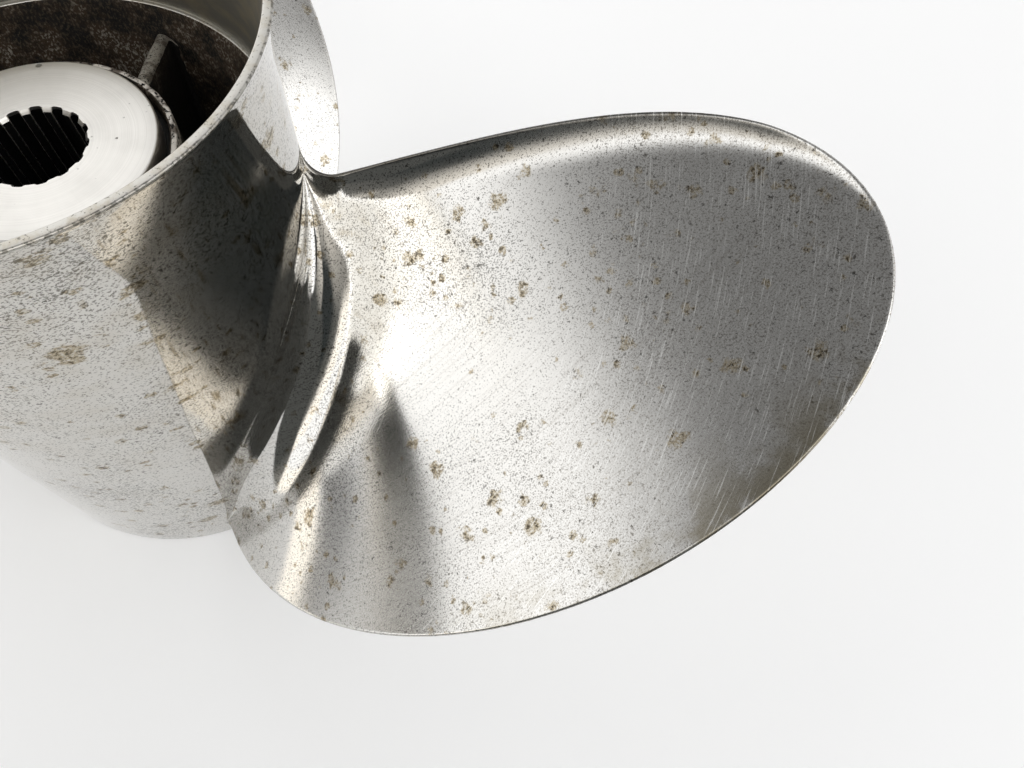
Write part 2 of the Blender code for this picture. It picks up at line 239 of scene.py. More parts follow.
# (turn, lower and upper height) along these two strips
WALL_EDGES = (
    (-30.0, 0.0, 0.03), (15.0, 0.0, 0.04), (50.0, 0.0, 0.045), (61.0, 0.0, 0.065),
    (61.5, 0.0, 0.42), (128.0, 0.0, 0.42), (150.0, 0.0, 0.15), (156.0, 0.0, 0.12),
)
BARREL_CARD_EDGES = (
    (50.0, 0.155, 0.36), (75.0, 0.155, 0.36), (79.0, 0.115, 0.36), (85.0, 0.12, 0.36),
    (90.0, 0.15, 0.36), (107.0, 0.16, 0.36), (130.0, 0.18, 0.36),
)


def smooth(share):
    """An ease from 0 to 1 without a kink at either end."""
    share = min(max(share, 0.0), 1.0)
    return share * share * (3.0 - 2.0 * share)


def cubic(terms, share):
    return sum(term * share ** power for power, term in enumerate(terms))


def spread(start, stop, steps):
    return [start + (stop - start) * i / steps for i in range(steps + 1)]


def polar(radius, turn, z):
    """The point this far from the shaft axis, in this direction about it."""
    return radius * math.cos(turn), radius * math.sin(turn), z


def arc(centre_radius, centre_z, radius, start, stop, steps):
    """Points (radius, z) on a round of a turned profile, angles in degrees from outwards to aft."""
    angles = [math.radians(degrees) for degrees in spread(start, stop, steps)]
    return [(centre_radius + radius * math.cos(a), centre_z + radius * math.sin(a)) for a in angles]


def marked(points, index):
    """Points (radius, z) of a profile, with the material index of the stretch that they start."""
    return [(radius, z, index) for radius, z in points]


def mesh_object(name, shape):
    mesh = bpy.data.meshes.new(name)
    shape.to_mesh(mesh)
    shape.free()
    mesh.shade_smooth()
    item = bpy.data.objects.new(name, mesh)
    bpy.context.scene.collection.objects.link(item)
    return item


def place(item, nodes):
    """Seats a piece on the part's one body, in the place of CAD nodes."""
    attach(item, ROOT_BODY)
    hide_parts(*nodes)


def add_piece(name, shape, node, degrees):
    """Makes a closed shape the piece that stands for a CAD node.

    Edges above this angle stay sharp."""
    bmesh.ops.recalc_face_normals(shape, faces=shape.faces)
    item = mesh_object(name, shape)
    item.data.set_sharp_from_angle(angle=math.radians(degrees))
    place(item, [node])
    return item


def cap(shape, ring):
    """Closes a ring whose second half runs back beside its first, with quads across it."""
    last = len(ring) - 1
    for i in range(len(ring) // 2 - 1):
        shape.faces.new((ring[i], ring[i + 1], ring[last - i - 1], ring[last - i]))


def skin(shape, rings, closed=False):
    """Quads from each ring of points to the next, and round to the first or with both ends capped.

    Gives the ring, the step and the face of each quad between two rings."""
    quads = []
    following = rings[1:] + rings[:1] if closed else rings[1:]
    for i, (ring, beyond) in enumerate(zip(rings, following)):
        for j in range(len(ring)):
            k = (j + 1) % len(ring)
            quads.append((i, j, shape.faces.new((ring[j], beyond[j], beyond[k], ring[k]))))
    if not closed:
        cap(shape, rings[0])
        cap(shape, rings[-1])
    return quads


def turn_shape(shape, turn):
    """Turns a shape about the shaft axis."""
    turned = Matrix.Rotation(turn, 4, "Z")
    bmesh.ops.transform(shape, matrix=turned, verts=shape.verts)


def lathe(profile, segments, relief=None):
    """Turns a closed profile of (radius, z, material index), running aft to forward on the outside.

    relief(turn, radius, z, index) gives a point's shift along the radius."""
    shape = bmesh.new()
    rings = []
    for radius, z, index in profile:
        ring = []
        for turn in spread(0.0, math.tau, segments)[:-1]:
            shift = relief(turn, radius, z, index) if relief else 0.0
            ring.append(shape.verts.new(polar(radius + shift, turn, z)))
        rings.append(ring)
    for i, _, face in skin(shape, rings, closed=True):
        face.material_index = profile[i][2]
    return shape


def barrel_radius(barrel, z):
    """Outer radius of the barrel: a slight taper, a straight stretch and the flared aft end."""
    taper = min(max(z, 0.0) / barrel.taper_end, 1.0)
    radius = barrel.front_radius + (barrel.body_radius - barrel.front_radius) * taper
    if z > barrel.flare_start:
        run = barrel.length - barrel.flare_start
        rise = barrel.rim_radius - barrel.body_radius
        arc_radius = (run ** 2 + rise ** 2) / (2.0 * rise)
        radius += arc_radius - math.sqrt(arc_radius ** 2 - (z - barrel.flare_start) ** 2)
    return radius


def bore_radius(barrel, z):
    """Radius of the barrel's cast bore, which widens aft up to the ledge."""
    front, aft = barrel.bore_front_radius, barrel.bore_aft_radius
    return front + (aft - front) * z / barrel.ledge_z


def hub_radius(hub, z):
    """Outer radius of the inner hub, which narrows aft."""
    share = (hub.aft_z - z) / (hub.aft_z - hub.front_z)
    return hub.aft_radius + (hub.front_radius - hub.aft_radius) * share


def barrel_profile(barrel):
    """(radius, z, material index) around the barrel's wall, starting at the rim's outer edge."""
    edge, foot = barrel.edge, 2.0 * barrel.edge
    top, rim, ledge = barrel.length, barrel.rim_radius, barrel.ledge_z
    outer = spread(top - 2.5 * edge, barrel.flare_start, FLARE_STEPS)
    outer += spread(barrel.flare_start, foot, BODY_STEPS)[1:]
    cast = spread(foot, ledge - edge, BORE_STEPS)[1:]
    inner = spread(barrel.flare_start, top - 2.0 * edge, FLARE_STEPS)
    profile = marked(arc(rim - edge, top - edge, edge, 90.0, 0.0, 4), RIM)
    profile += [(barrel_radius(barrel, z), z, POLISHED) for z in outer]
    profile += marked(arc(barrel.front_radius - foot, foot, foot, 0.0, -90.0, 4)[1:], POLISHED)
    profile += marked(arc(barrel.bore_front_radius + foot, foot, foot, -90.0, -180.0, 3), CAST)
    profile += [(bore_radius(barrel, z), z, CAST) for z in cast]
    step = arc(barrel.bore_aft_radius + edge, ledge - edge, edge, 180.0, 90.0, 3)[1:]
    profile += marked(step, RIM)
    profile.append((barrel.ledge_radius - edge / 2.0, ledge, FLARE))
    profile.append((barrel.ledge_radius, ledge + edge / 2.0, FLARE))
    profile += [(barrel_radius(barrel, z) - barrel.rim_width, z, FLARE) for z in inner]
    last = arc(rim - barrel.rim_width + edge, top - edge, edge, 180.0, 90.0, 4)[1:]
    return profile + marked(last, RIM)


def build_barrel(sizes):
    barrel = sizes.barrel

    def cast_relief(turn, radius, z, index):
        """Lumps of the rough cast bore, none next to its machined ends."""
        if index != CAST:
            return 0.0
        fade = smooth((barrel.ledge_z - z) / RELIEF_CLEAR) * smooth(z / RELIEF_CLEAR)
        point = Vector(polar(radius, turn, z))
        return barrel.roughness * fade * (
            0.7 * noise.noise(point * BORE_LUMPS) + 0.5 * noise.noise(point * BORE_GRAINS)
        )

    shape = lathe(barrel_profile(barrel), barrel.segments, cast_relief)
    return add_piece(BARREL_PIECE, shape, "outer_barrel", 40.0)


def build_inner_hub(sizes):
    """The tube for the bushing: a pitted aft face, a machined bore and walls black with deposits and
    painted shade.
    """
    hub = sizes.inner_hub
    edge, bore = hub.edge, hub.bore_radius
    aft, front = hub.aft_z - edge, hub.front_z + edge
    profile = marked(arc(hub.aft_radius - edge, aft, edge, 90.0, 0.0, 4), PITTED)
    profile += [(hub_radius(hub, z), z, SOOTY_AND_SHADED) for z in spread(aft, front, HUB_STEPS)[1:]]
    profile += marked(arc(hub.front_radius - edge, front, edge, 0.0, -90.0, 4)[1:], SOOTY_AND_SHADED)
    profile += marked(arc(bore + edge, front, edge, -90.0, -180.0, 3), TURNED)
    profile.append((bore, hub.aft_z - BORE_SOOT_AND_SHADE, SOOTY_AND_SHADED))
    profile += marked(arc(bore + edge, aft, edge, 180.0, 90.0, 3)[:-1], SOOTY_AND_SHADED)
    profile.append((bore + edge, hub.aft_z, PITTED))

    def cast_relief(turn, radius, z, index):
        if index == TURNED or radius < bore + edge:
            return 0.0
        point = Vector(polar(radius, turn, z))
        return sizes.barrel.roughness * 0.6 * noise.noise(point * HUB_LUMPS)

    shape = lathe(profile, hub.segments, cast_relief)
    return add_piece("inner_hub_casting", shape, "inner_hub", 40.0)


def fillet_rise(distance, radius):
    """How far a round of this radius stands off a face, at this distance from the wall it meets."""
    depth = radius - min(max(distance, 0.0), radius)
    return radius - math.sqrt(max(radius ** 2 - depth ** 2, 0.0))


def build_rib(sizes, index):
    """An upright plate beside the radius, with fillets where it meets the two walls."""
    rib, hub, barrel = sizes.rib, sizes.inner_hub, sizes.barrel
    slope = (rib.aft_z_at_barrel - rib.aft_z_at_hub) / (barrel.bore_aft_radius - hub.aft_radius)
    corner = rib.thickness * RIB_ROUND

    def ends(inner, outer, side):
        """Where the plate starts and stops this far beside the axis, just inside both walls."""
        start, stop = (math.sqrt(radius ** 2 - side ** 2) for radius in (inner, outer))
        return start - RIB_BURY, stop + RIB_BURY

    shape = bmesh.new()
    rings = []
    for turn in spread(0.0, math.pi, RIB_COLUMNS):
        share = 0.5 - 0.5 * math.cos(turn)
        start, stop = ends(hub.aft_radius, barrel.bore_aft_radius, rib.offset)
        middle = start + (stop - start) * share
        from_walls = middle - (start + RIB_BURY), stop - RIB_BURY - middle
        extra = sum(fillet_rise(distance, rib.fillet) for distance in from_walls)
        half = rib.thickness / 2.0 + extra
        beyond_hub = math.hypot(middle, rib.offset) - hub.aft_radius
        top = rib.aft_z_at_hub + slope * beyond_hub - extra * RIB_DRAW
        side = [(half, z) for z in spread(rib.front_z, top - corner, RIB_ROWS)]
        side += arc(half - corner, top - corner, corner, 0.0, 90.0, RIB_ROUND_STEPS)[1:]
        ring = []
        for away, z in side + [(-away, z) for away, z in reversed(side)]:
            y = away - rib.offset
            start, stop = ends(hub_radius(hub, z), bore_radius(barrel, z), y)
            x = start + (stop - start) * share
            lump = RIB_RELIEF * noise.noise(Vector((x, y, z + index)) * RIB_LUMPS)
            ring.append(shape.verts.new((x, y + lump, z)))
        rings.append(ring)
    # The rounded top takes the paler second material, rust with painted light; the sides stay black
    # with soot and painted shade
    for _, step, face in skin(shape, rings):
        face.material_index = int(RIB_ROWS <= step < len(ring) - RIB_ROWS - 1)
    turn_shape(shape, rib.direction + index * math.tau / rib.count)
    name = "rib_%d" % (index + 1)
    return add_piece(name + "_casting", shape, name, 50.0)


def spline_ring(sleeve, land_radius):
    """Points (x, y) around the toothed bore, with its lands at this radius."""
    points = []
    half = sleeve.groove_width / 2.0
    corner = half * GROOVE_CORNER
    floor = math.sqrt(sleeve.major_radius ** 2 - half ** 2)
    wall = [(math.sqrt(land_radius ** 2 - half ** 2) + LAND_BEVEL, -half)]
    wall += [(floor - corner, -half), (floor, corner - half), (sleeve.major_radius, 0.0)]
    wall += [(x, -y) for x, y in reversed(wall[:-1])]
    edge = math.asin(half / land_radius) + LAND_BEVEL / land_radius
    pitch = math.tau / sleeve.splines
    for groove in range(sleeve.splines):
        middle = sleeve.first_angle + groove * pitch
        turned = Matrix.Rotation(middle, 2)
        points += [tuple(turned @ Vector(point)) for point in wall]
        land = spread(middle + edge, middle + pitch - edge, LAND_STEPS)
        points += [polar(land_radius, turn, 0.0)[:2] for turn in land]
    return points


def build_sleeve(sizes):
    """The turned sleeve: a wide head on a tube, with a splined and chamfered bore."""
    sleeve = sizes.sleeve
    edge, lands = SLEEVE_EDGE, sleeve.minor_radius
    top, bottom = sleeve.aft_z, sleeve.front_z
    neck, head = top - sleeve.head_thickness, sleeve.head_radius
    chamfered, faced = lands + sleeve.chamfer, sleeve.major_radius + FACE_MARGIN
    lip = top - sleeve.chamfer
    bore = [(chamfered, top), (lands + CHAMFER_STEP, lip), (lands, lip - 2.0 * CHAMFER_STEP)]
    bore += [(lands, z) for z in spread(top - LAND_MARGIN, bottom + LAND_MARGIN, SLEEVE_STEPS)]
    bore += [(lands, bottom + sleeve.chamfer), (chamfered, bottom)]
    outside = [(radius, bottom) for radius in spread(faced, sleeve.radius - edge, 2)]
    outside += [(sleeve.radius, bottom + edge), (sleeve.radius, neck), (head - edge, neck)]
    outside += arc(head - edge, neck + edge, edge, -90.0, 0.0, 3)[1:]
    outside += arc(head - 2.0 * edge, top - 2.0 * edge, 2.0 * edge, 0.0, 90.0, 5)
    outside += [(radius, top) for radius in spread(head - 2.0 * edge, faced, 5)[1:]]
    shape = bmesh.new()
    rings = []
    for radius, z in bore:
        rings.append([shape.verts.new((x, y, z)) for x, y in spline_ring(sleeve, radius)])
    turns = [math.atan2(vert.co.y, vert.co.x) for vert in rings[0]]
    rings += [[shape.verts.new(polar(radius, turn, z)) for turn in turns] for radius, z in outside]
    points_a_groove = len(turns) // sleeve.splines
    # The bore's lands take the near-black second material, grease and painted shade; the chamfers
    # and the groove bevels keep the turned steel
    for ring, step, face in skin(shape, rings, closed=True):
        bevel = step % points_a_groove in (WALL_POINTS - 1, points_a_groove - 1)
        face.material_index = int(0 < ring < len(bore) - 2 and not bevel)
    return add_piece("splined_sleeve_turned", shape, "splined_sleeve", 30.0)


def build_bushing(sizes):
    """The rubber ring between the sleeve and the inner hub, its ends slightly crowned."""
    sleeve, hub = sizes.sleeve, sizes.inner_hub
    outer, inner = hub.bore_radius - BUSHING_GAP, sleeve.radius + BUSHING_GAP
    middle, half = (outer + inner) / 2.0, (outer - inner) / 2.0
    aft, front = sleeve.bushing_aft_z, sleeve.bushing_front_z
    straight = spread(aft - 2.0 * BUSHING_CROWN, front + 2.0 * BUSHING_CROWN, BUSHING_STEPS)
    across = spread(-1.0, 1.0, CROWN_STEPS)
    profile = [(middle + half * share, aft - BUSHING_CROWN * share ** 4, 0) for share in across]
    profile += [(outer, z, 0) for z in straight]
    profile += [(middle - half * share, front + BUSHING_CROWN * share ** 4, 0) for share in across]
    shape = lathe(profile, hub.segments)
    return add_piece("rubber_bushing_moulded", shape, "rubber_bushing", 50.0)


def blade_edges(sizes, radius):
    """The directions of the leading and the trailing edge at this radius, fillets included."""
    blade, body_radius = sizes.blade, sizes.barrel.body_radius
    height = radius - body_radius
    share = min(max(height / (blade.tip_radius - body_radius), 0.0), 1.0)
    middle = math.radians(cubic(MIDDLE_LINE_TERMS, share))
    round_half = math.sqrt(max(blade.tip_radius ** 2 - radius ** 2, 0.0))
    half = cubic(FULLNESS_TERMS, share) * round_half / radius
    helix_radius = math.hypot(radius, blade.pitch / math.tau)
    leading = middle - half - fillet_rise(height, blade.leading_fillet) / helix_radius
    trailing = middle + half + fillet_rise(height, blade.trailing_fillet) / helix_radius
    return leading, trailing, share


def blade_section(sizes, height, steps):
    """One section: for each step from edge to edge its aft and forward point, and the surface map.

    height is measured from the barrel. The offsets from the helical face run along the face's
    normal, which turns into the barrel's own surface towards the foot."""
    blade, barrel = sizes.blade, sizes.barrel
    radius = barrel.body_radius + height
    leading, trailing, share = blade_edges(sizes, radius)
    nearer = blade_edges(sizes, max(radius - EDGE_STEP, barrel.body_radius))
    lead = blade.pitch / math.tau
    helix_radius = math.hypot(radius, lead)
    chord = (trailing - leading) * helix_radius
    foot = max(1.0 - max(height, 0.0) / blade.face_fillet, 0.0) ** 2
    run = math.tan(blade.rake)
    scale = math.sqrt((radius * run) ** 2 + lead ** 2 + radius ** 2)
    normal = Vector((-radius * run / scale * (1.0 - foot), -lead / scale, radius / scale))
    normal.normalize()
    rise = fillet_rise(height, blade.face_fillet)
    thinning = (blade.tip_thickness - blade.root_thickness) * share ** THICKNESS_POWER
    rows = []
    for angle in spread(0.0, math.pi, steps):
        chord_share = 0.5 - 0.5 * math.cos(angle)
        turn = leading + (trailing - leading) * chord_share
        edge_turn = (nearer[0] - leading) if chord_share < 0.5 else (trailing - nearer[1])
        lean = edge_turn * helix_radius / EDGE_STEP
        across = 2.0 * chord_share - 1.0
        inset = chord / 2.0 * (1.0 - across * across) / 2.0 / math.sqrt(1.0 + lean * lean)
        edge = blade.leading_edge + (blade.trailing_edge - blade.leading_edge) * chord_share
        rounding = fillet_rise(inset, edge / 2.0)
        fullness = math.sin(math.pi * chord_share) ** THICKNESS_POWER
        bulge = max(blade.root_thickness + thinning - edge, 0.0) * fullness
        curl = max((chord_share - CUP_START) / (1.0 - CUP_START), 0.0) ** 2
        full = min(1.0, CUP_AT_ROOT + CUP_GROWTH * share, END_FADE * (1.0 - share))
        curl *= blade.cup_height * full
        fade = smooth(END_FADE * chord_share / 2.0) * smooth(END_FADE * (1.0 - chord_share) / 2.0)
        fillet = rise * fade
        face_z = blade.root_z + (turn - blade.root_angle) * blade.pitch / math.tau
        face_z += run * (radius - barrel.front_radius)
        row = []
        for offset in (curl + fillet - rounding, curl - fillet - edge - bulge + rounding):
            z = face_z + normal.z * offset
            away = radius + normal.x * offset
            away += (barrel_radius(barrel, z) - barrel.body_radius) * foot
            row.append((away, turn + normal.y * offset / away, z))
        rows.append((row, (chord * (chord_share - 0.5), height, chord_share)))
    return rows


def blade_shape(sizes):
    """The blade's skin over both faces, closed inside the barrel's wall."""
    blade = sizes.blade
    quarter = math.pi / 2.0
    span = blade.tip_radius - sizes.barrel.body_radius - blade.face_fillet
    low, high = (spread(0.0, quarter, steps) for steps in (blade.fillet_steps, blade.span_steps))
    heights = [blade.face_fillet * (1.0 - math.cos(angle)) for angle in low]
    heights += [blade.face_fillet + span * math.sin(angle) for angle in high[1:-1]]
    shape = bmesh.new()
    blade_map = shape.verts.layers.float_vector.new("blade_map")
    rings = []
    sunk = [(0.0, ROOT_DEPTH), (0.0, FOOT_DEPTH)] + [(height, -FOOT_PROUD) for height in heights]
    for height, sink in sunk:
        aft, forward = [], []
        for row, where in blade_section(sizes, height, blade.chord_steps):
            for side, (away, turn, z) in zip((aft, forward), row):
                vert = shape.verts.new(polar(away - sink, turn, z))
                vert[blade_map] = where
                side.append(vert)
        rings.append(aft + forward[::-1])
    skin(shape, rings)
    bmesh.ops.remove_doubles(shape, verts=shape.verts, dist=MERGE_DISTANCE)
    return shape


def build_blades(sizes):
    first = blade_shape(sizes)
    blades = []
    for index in range(sizes.blade.count):
        shape = first.copy()
        turn_shape(shape, index * math.tau / sizes.blade.count)
        name = "blade_%d" % (index + 1)
        blades.append(add_piece(name + "_casting", shape, name, 60.0))
    first.free()
    return blades


class Value:
    """What one socket gives. Python's operators on numbers add Math nodes."""

    def __init__(self, nodes, socket):
        self.nodes, self.socket = nodes, socket

    def __add__(self, other):
        return self.nodes.maths("ADD", self, other)

    def __sub__(self, other):
        return self.nodes.maths("SUBTRACT", self, other)

    def __rsub__(self, other):
        return self.nodes.maths("SUBTRACT", other, self)

    def __mul__(self, other):
        return self.nodes.maths("MULTIPLY", self, other)

    def __lt__(self, other):
        return self.nodes.maths("LESS_THAN", self, other)

    __radd__ = __add__
    __rmul__ = __mul__


class Nodes:
    """The nodes of one material or of the room's light."""

    def __init__(self, owner):
        owner.use_nodes = True
        self.owner, self.tree = owner, owner.node_tree

    def node(self, kind, settings=None, inputs=None, output=0):
        """Adds a node with these settings and inputs, and gives what this output of it gives."""
        made = self.tree.nodes.new(kind)
        for name, value in (settings or {}).items():
            setattr(made, name, value)
        for name, value in (inputs or {}).items():
            self.feed(made.inputs[name], value)
        return Value(self, made.outputs[output])

    def feed(self, socket, value):
        if isinstance(value, Value):
            self.tree.links.new(value.socket, socket)
        elif socket.type == "RGBA":
            socket.default_value = (*value, 1.0)
        else:
            socket.default_value = value

    def maths(self, operation, *values):
        return self.node("ShaderNodeMath", {"operation": operation}, dict(enumerate(values)))

    def vector_maths(self, operation, *values, output="Vector"):
        inputs = dict(enumerate(values))
        return self.node("ShaderNodeVectorMath", {"operation": operation}, inputs, output)

    def ramp(self, value, low, high, start=0.0, stop=1.0):
        """Eases from start to stop as the value goes from low to high."""
        inputs = {
            "Value": value, "From Min": low, "From Max": high, "To Min": start, "To Max": stop,
        }
        return self.node("ShaderNodeMapRange", {"interpolation_type": "SMOOTHSTEP"}, inputs)

    def between(self, share, first, second):
        """A number between two, as share goes from 0 to 1."""
        return first * (1.0 - share) + share * second

    def blend(self, share, first, second):
        return self.node("ShaderNodeMix", {"data_type": "RGBA"}, {0: share, 6: first, 7: second}, 2)

    def layers(self, base, *coats):
        """The base colour under coats of (share, colour), each laid over those before it."""
        for share, coat in coats:
            base = self.blend(share, base, coat)
        return base

    def position(self):
        return self.node("ShaderNodeNewGeometry")

    def part(self, vector, axis):
        return self.node("ShaderNodeSeparateXYZ", inputs={0: vector}, output=axis)

    def stretch(self, vector, factors):
        return self.vector_maths("MULTIPLY", vector, factors)

    def off_axis(self, spot):
        """How far the spot is from the shaft axis."""
        return self.vector_maths("LENGTH", self.stretch(spot, (1.0, 1.0, 0.0)), output="Value")

    def turn(self, spot):
        """The spot's direction in degrees: 0 on the left, along -X, 90 in front, along -Y."""
        x, y = (self.part(spot, axis) * -1.0 for axis in range(2))
        return self.maths("ARCTAN2", y, x) * math.degrees(1.0)

    def cloud(self, vector, size, detail=3.0, roughness=0.5, output="Fac"):
        inputs = {"Vector": vector, "Scale": 1.0 / size, "Detail": detail, "Roughness": roughness}
        return self.node("ShaderNodeTexNoise", inputs=inputs, output=output)

    def rings(self, spot, fineness):
        """Fine turned grooves around the shaft axis, this many to the metre."""
        inputs = {"W": self.off_axis(spot), "Scale": fineness, "Detail": 3.0}
        return self.node("ShaderNodeTexNoise", {"noise_dimensions": "1D"}, inputs)

    def cells(self, vector, size):
        """How far the nearest cell's middle is, and that cell's own draw of three numbers."""
        inputs = {"Vector": vector, "Scale": 1.0 / size}
        away = self.node("ShaderNodeTexVoronoi", inputs=inputs, output="Distance")
        return away, Value(self, away.socket.node.outputs["Color"])

    def warp(self, vector, size, reach):
        """The vector pushed about by a cloud, so that round marks get ragged outlines."""
        colours = self.cloud(vector, size, 3.0, 0.65, "Color")
        push = self.vector_maths("SUBTRACT", colours, (0.5, 0.5, 0.5))
        return self.vector_maths("ADD", vector, self.stretch(push, (reach, reach, reach)))

    def spots(self, vector, size, density, least, most):
        """Ragged spots, one at most in each cell, in the share of the cells that density gives."""
        away, draw = self.cells(vector, size)
        reach = self.part(draw, 1) * (most - least) + least
        inside = self.node("ShaderNodeClamp", inputs={"Value": (reach - away) * 8.0})
        return inside * (self.part(draw, 0) < density)

    def blotches(self, vector, size, density):
        """Ragged rust blotches, in this share of the cells."""
        away, draw = self.cells(self.warp(vector, size * 0.30, size * 0.7), size)
        depth = self.part(draw, 1) * 0.28 + 0.10 - away
        return self.ramp(depth, -0.02, 0.12) * (self.part(draw, 0) < density)

    def bump(self, height, distance, normal=None):
        inputs = {"Height": height, "Distance": distance, "Strength": 1.0}
        if normal:
            inputs["Normal"] = normal
        return self.node("ShaderNodeBump", inputs=inputs)


class Finish(Nodes):
    """One material, with one Principled BSDF. Its constants are set on the shader's own sockets."""

    def __init__(self, name, **constants):
        super().__init__(bpy.data.materials.new(name))
        self.shader = self.tree.nodes["Principled BSDF"]
        self.shade(**constants)

    def shade(self, **inputs):
        for name, value in inputs.items():
            socket = name.replace("_", " ").title().replace("Ior", "IOR")
            self.feed(self.shader.inputs[socket], value)

    def done(self, base, roughness, height, distance, under=None):
        """Feeds the shader, its relief laid over a broader one. Gives the material."""
        normal = self.bump(height, distance, under)
        self.shade(base_color=base, roughness=roughness, normal=normal)
        return self.owner


def weathered(finish, looks, flow, crowding, bite=SPECK_BITE):
    """Steel with fine specks, this strong, and rust blotches. Gives its colour, rust and grit."""
    large = finish.blotches(flow, LARGE_BLOTCH, finish.ramp(crowding, 0.36, 0.60, 0.20, 0.90))
    small = finish.blotches(flow, SMALL_BLOTCH, finish.ramp(crowding, 0.40, 0.62, 0.10, 0.60))
    crumbs = finish.cloud(flow, CRUMB, 3.0, 0.75)
    grit = finish.cloud(flow, GRIT, 1.0)
    rust = finish.maths("MAXIMUM", large, small) * finish.ramp(crumbs, 0.30, 0.54)
    specks = finish.ramp(grit + crowding * 0.30 + rust * 0.05, 0.735, 0.80)
    pits = finish.ramp(crumbs + crowding * 0.16 + rust * 0.05, 0.70, 0.75)
    base = finish.layers(
        looks.steel,
        (rust * 0.85, looks.stain),
        (rust * finish.ramp(crumbs, 0.50, 0.62) * 0.7, looks.scale),
        (finish.maths("MAXIMUM", pits * 0.85, specks * bite), looks.pit),
    )
    return base, rust, grit


def light_steel(looks):
    """The blades: polished at the root, satin and scratched further out, with film at the tip.

    Their map gives the place along the chord and the height over the barrel in metres, and the
    share of the chord from the leading edge."""
    finish = Finish("satin_ground_steel", metallic=1.0)
    spot = finish.position()
    cloud = finish.cloud(spot, 0.040)
    across = finish.node("ShaderNodeAttribute", {"attribute_name": "blade_map"}, output="Vector")
    height, share = finish.part(across, 1), finish.part(across, 2)
    outer = finish.ramp(height, 0.060, 0.105)
    bite = finish.between(outer, SPECK_BITE, OUTER_SPECK_BITE)
    base, rust, grit = weathered(finish, looks, spot, cloud, bite)
    patches = finish.ramp(finish.cloud(spot, 0.012, 4.0, 0.6), 0.40, 0.60)
    film = finish.ramp(share - height * FILM_SLANT, -0.98, -0.40, 1.0, 0.0) * patches
    # Painted reflection: a dark line along the trailing edge, low on the blade, laid in the pit
    # colour
    edge = finish.ramp(share, 0.990, 0.997) * finish.ramp(height, 0.100, 0.130, 1.0, 0.0)
    hair = finish.cloud(finish.stretch(across, SCRATCH_FINENESS), 1.0, 2.0)
    scratches = finish.ramp(hair, 0.56, 0.70) * finish.ramp(height, 0.055, 0.095)
    ground = {"Vector": across, "Rotation": (0.0, 0.0, GRIND_ANGLE), "Scale": GRIND_SIZE}
    turned = finish.node("ShaderNodeMapping", {"vector_type": "TEXTURE"}, ground)
    grain = finish.cloud(turned, 1.0, 2.0)
    base = finish.layers(
        base,
        (finish.ramp(grit, 0.28, 0.42, 0.42, 0.0) * outer, looks.bright),
        (finish.ramp(grit, 0.54, 0.66, 0.0, 0.30) * outer, looks.scale),
        (film * 0.85, looks.film),
        # the painted dark reflection along the trailing edge
        (edge * 0.8, looks.pit),
        (scratches * 0.5, looks.bright),
        (finish.ramp(grain, 0.50, 0.72) * 0.15, looks.scale),
    )
    satin = finish.ramp(height, 0.015, 0.070, 0.04, 0.19)
    roughness = satin + cloud * 0.04 + rust * 0.06 + scratches * 0.05
    waves = finish.bump(finish.cloud(spot, 0.030, 1.0), 0.00022)
    relief = hair * 0.000006 + grain * 0.000005 - grit * 0.000004
    return finish.done(base, roughness, relief, 1.0, waves)


def polished_steel(looks):
    """The barrel: cast, polished bright around the axis, stained towards its aft end."""
    finish = Finish("polished_cast_steel", metallic=1.0)
    spot = finish.position()
    flow = finish.stretch(spot, BARREL_FLOW)
    cloud = finish.cloud(spot, 0.032)
    aft = finish.ramp(finish.part(spot, 2), 0.03, 0.14)
    base, rust, grit = weathered(finish, looks, flow, cloud + 0.05 + aft * 0.04)
    patches = finish.ramp(finish.cloud(flow, 0.009, 4.0, 0.6), 0.40, 0.70)
    stain = patches * (aft * 0.12 + 0.04) + aft * 0.10
    lines = finish.cloud(finish.stretch(spot, LINE_FINENESS), 1.0, 2.0)
    roughness = finish.cloud(spot, 0.02) * 0.04 + 0.03 + rust * 0.05
    waves = finish.bump(finish.cloud(spot, 0.030, 1.0), 0.00015)
    base = finish.blend(stain, base, looks.stain)
    return finish.done(base, roughness, lines * 0.000003 - grit * 0.000004, 1.0, waves)


def machined_steel(looks):
    finish = Finish("turned_steel_face", metallic=1.0)
    spot = finish.position()
    rings = finish.rings(spot, 3000.0) * 0.6 + finish.rings(spot, 1100.0) * 0.4
    cloud = finish.cloud(spot, 0.012, 4.0)
    specks = finish.spots(finish.warp(spot, 0.001, 0.0004), 0.0026, 0.22, 0.04, 0.20)
    haze = finish.ramp(cloud, 0.4, 0.75) * 0.35 + finish.ramp(rings, 0.35, 0.65) * 0.20
    dents = 0.0
    for *middle, size in PUNCH_MARKS:
        away = finish.vector_maths("DISTANCE", spot, middle, output="Value")
        dents = finish.ramp(away, size * 0.6, size, 1.0, 0.0) + dents
    base = finish.layers(
        looks.machined,
        (haze, looks.machined_dull),
        (specks * 0.6, looks.pit),
        (dents * 0.55, looks.pit),
    )
    return finish.done(base, 0.30 + rings * 0.12, rings - dents * 6.0, 0.00003)


# The spline bore's lands, near black: old grease, and painted shade deep in the bore
def greased_and_shaded_bore(looks):
    finish = Finish("greased_and_shaded_spline_bore", metallic=0.0, specular_ior_level=0.15)
    film = finish.cloud(finish.stretch(finish.position(), (1.0, 1.0, 0.25)), 0.004, 4.0, 0.6)
    base = finish.blend(finish.ramp(film, 0.60, 0.85), looks.grease_and_shade, looks.soot_and_shade)
    return finish.done(base, 0.30 + film * 0.25, film, 0.00006)


